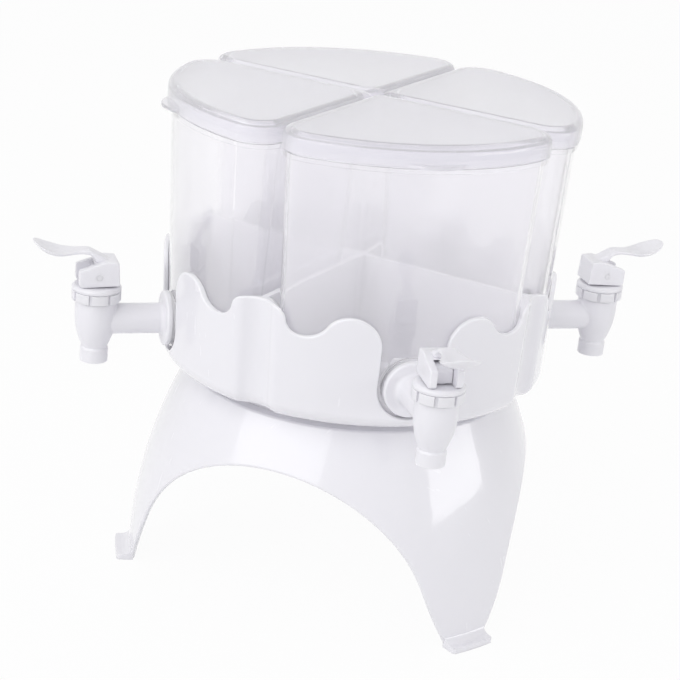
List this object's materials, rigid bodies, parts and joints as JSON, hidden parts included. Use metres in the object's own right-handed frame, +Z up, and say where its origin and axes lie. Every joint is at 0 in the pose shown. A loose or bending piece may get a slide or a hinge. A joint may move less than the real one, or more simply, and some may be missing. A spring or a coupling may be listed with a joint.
{
  "type": "cold drink dispenser",
  "caption": "Turntable cold drink dispenser: clear quarter-round tanks with frosted lids and lever taps, in a white scalloped base that spins on a stand with arched legs.",
  "frame": {"origin": "on the floor, under the spin axis of the base", "axes": "+Z up along the spin axis; the front tap points along -Y and the right tap along +X"},
  "size_m": [0.3638, 0.3638, 0.2782],
  "materials": {
    "white_plastic": "glossy white",
    "tap_plastic": "semi-gloss white",
    "clear_plastic": "clear, polished",
    "frosted_plastic": "frosted, translucent",
    "silicone": "soft, milky white",
    "glide_plastic": "matt natural white",
    "spring_steel": "bright stainless"
  },
  "bodies": {
    "stand_unit": {"stand": "white_plastic", "glide_ring": "glide_plastic"},
    "carousel": {"base": "white_plastic", "pivot_washer": "glide_plastic", "pivot_screw": "spring_steel"},
    "front_tank_unit": {"front_tank": "clear_plastic", "front_tap_body": "tap_plastic", "front_tap_gasket": "silicone", "front_tap_washer": "silicone", "front_tap_nut": "tap_plastic", "front_tap_collar": "tap_plastic", "front_tap_seal": "silicone", "front_tap_spring": "spring_steel"},
    "front_lid_unit": {"front_lid": "frosted_plastic"},
    "front_plunger_unit": {"front_tap_plunger": "tap_plastic", "front_tap_valve_cup": "silicone"},
    "front_lever_unit": {"front_tap_lever": "tap_plastic", "front_tap_pin": "tap_plastic"},
    "right_tank_unit": {"right_tank": "clear_plastic", "right_tap_body": "tap_plastic", "right_tap_gasket": "silicone", "right_tap_washer": "silicone", "right_tap_nut": "tap_plastic", "right_tap_collar": "tap_plastic", "right_tap_seal": "silicone", "right_tap_spring": "spring_steel"},
    "right_lid_unit": {"right_lid": "frosted_plastic"},
    "right_plunger_unit": {"right_tap_plunger": "tap_plastic", "right_tap_valve_cup": "silicone"},
    "right_lever_unit": {"right_tap_lever": "tap_plastic", "right_tap_pin": "tap_plastic"},
    "rear_tank_unit": {"rear_tank": "clear_plastic", "rear_tap_body": "tap_plastic", "rear_tap_gasket": "silicone", "rear_tap_washer": "silicone", "rear_tap_nut": "tap_plastic", "rear_tap_collar": "tap_plastic", "rear_tap_seal": "silicone", "rear_tap_spring": "spring_steel"},
    "rear_lid_unit": {"rear_lid": "frosted_plastic"},
    "rear_plunger_unit": {"rear_tap_plunger": "tap_plastic", "rear_tap_valve_cup": "silicone"},
    "rear_lever_unit": {"rear_tap_lever": "tap_plastic", "rear_tap_pin": "tap_plastic"},
    "left_tank_unit": {"left_tank": "clear_plastic", "left_tap_body": "tap_plastic", "left_tap_gasket": "silicone", "left_tap_washer": "silicone", "left_tap_nut": "tap_plastic", "left_tap_collar": "tap_plastic", "left_tap_seal": "silicone", "left_tap_spring": "spring_steel"},
    "left_lid_unit": {"left_lid": "frosted_plastic"},
    "left_plunger_unit": {"left_tap_plunger": "tap_plastic", "left_tap_valve_cup": "silicone"},
    "left_lever_unit": {"left_tap_lever": "tap_plastic", "left_tap_pin": "tap_plastic"}
  },
  "joints": [
    {"name": "carousel_spin", "type": "hinge", "parent": "stand_unit", "child": "carousel", "pos_m": [0, 0, 0.118], "axis": [0, 0, 1], "continuous": true},
    {"name": "front_tank_lift", "type": "slide", "parent": "carousel", "child": "front_tank_unit", "axis": [0, 0, 1], "range_m": [0, 0.08]},
    {"name": "front_lid_lift", "type": "slide", "parent": "front_tank_unit", "child": "front_lid_unit", "axis": [0, 0, 1], "range_m": [0, 0.04]},
    {"name": "front_plunger_lift", "type": "slide", "parent": "front_tank_unit", "child": "front_plunger_unit", "axis": [0, 0, 1], "range_m": [0, 0.00267], "stiffness_N_per_m": 150, "springref_m": -0.004, "deforming": ["front_tap_spring"]},
    {"name": "front_lever_press", "type": "hinge", "parent": "front_plunger_unit", "child": "front_lever_unit", "pos_m": [0, -0.1467, 0.175], "axis": [1, 0, 0], "range_deg": [0, 20]},
    {"name": "right_tank_lift", "type": "slide", "parent": "carousel", "child": "right_tank_unit", "axis": [0, 0, 1], "range_m": [0, 0.08]},
    {"name": "right_lid_lift", "type": "slide", "parent": "right_tank_unit", "child": "right_lid_unit", "axis": [0, 0, 1], "range_m": [0, 0.04]},
    {"name": "right_plunger_lift", "type": "slide", "parent": "right_tank_unit", "child": "right_plunger_unit", "axis": [0, 0, 1], "range_m": [0, 0.00267], "stiffness_N_per_m": 150, "springref_m": -0.004, "deforming": ["right_tap_spring"]},
    {"name": "right_lever_press", "type": "hinge", "parent": "right_plunger_unit", "child": "right_lever_unit", "pos_m": [0.1467, 0, 0.175], "axis": [0, 1, 0], "range_deg": [0, 20]},
    {"name": "rear_tank_lift", "type": "slide", "parent": "carousel", "child": "rear_tank_unit", "axis": [0, 0, 1], "range_m": [0, 0.08]},
    {"name": "rear_lid_lift", "type": "slide", "parent": "rear_tank_unit", "child": "rear_lid_unit", "axis": [0, 0, 1], "range_m": [0, 0.04]},
    {"name": "rear_plunger_lift", "type": "slide", "parent": "rear_tank_unit", "child": "rear_plunger_unit", "axis": [0, 0, 1], "range_m": [0, 0.00267], "stiffness_N_per_m": 150, "springref_m": -0.004, "deforming": ["rear_tap_spring"]},
    {"name": "rear_lever_press", "type": "hinge", "parent": "rear_plunger_unit", "child": "rear_lever_unit", "pos_m": [0, 0.1467, 0.175], "axis": [-1, 0, 0], "range_deg": [0, 20]},
    {"name": "left_tank_lift", "type": "slide", "parent": "carousel", "child": "left_tank_unit", "axis": [0, 0, 1], "range_m": [0, 0.08]},
    {"name": "left_lid_lift", "type": "slide", "parent": "left_tank_unit", "child": "left_lid_unit", "axis": [0, 0, 1], "range_m": [0, 0.04]},
    {"name": "left_plunger_lift", "type": "slide", "parent": "left_tank_unit", "child": "left_plunger_unit", "axis": [0, 0, 1], "range_m": [0, 0.00267], "stiffness_N_per_m": 150, "springref_m": -0.004, "deforming": ["left_tap_spring"]},
    {"name": "left_lever_press", "type": "hinge", "parent": "left_plunger_unit", "child": "left_lever_unit", "pos_m": [-0.1467, 0, 0.175], "axis": [0, -1, 0], "range_deg": [0, 20]}
  ],
  "couplings": [
    {"joint": "front_lever_press", "follows": "front_plunger_lift", "rad_per_m": 130.7},
    {"joint": "right_lever_press", "follows": "right_plunger_lift", "rad_per_m": 130.7},
    {"joint": "rear_lever_press", "follows": "rear_plunger_lift", "rad_per_m": 130.7},
    {"joint": "left_lever_press", "follows": "left_plunger_lift", "rad_per_m": 130.7}
  ]
}
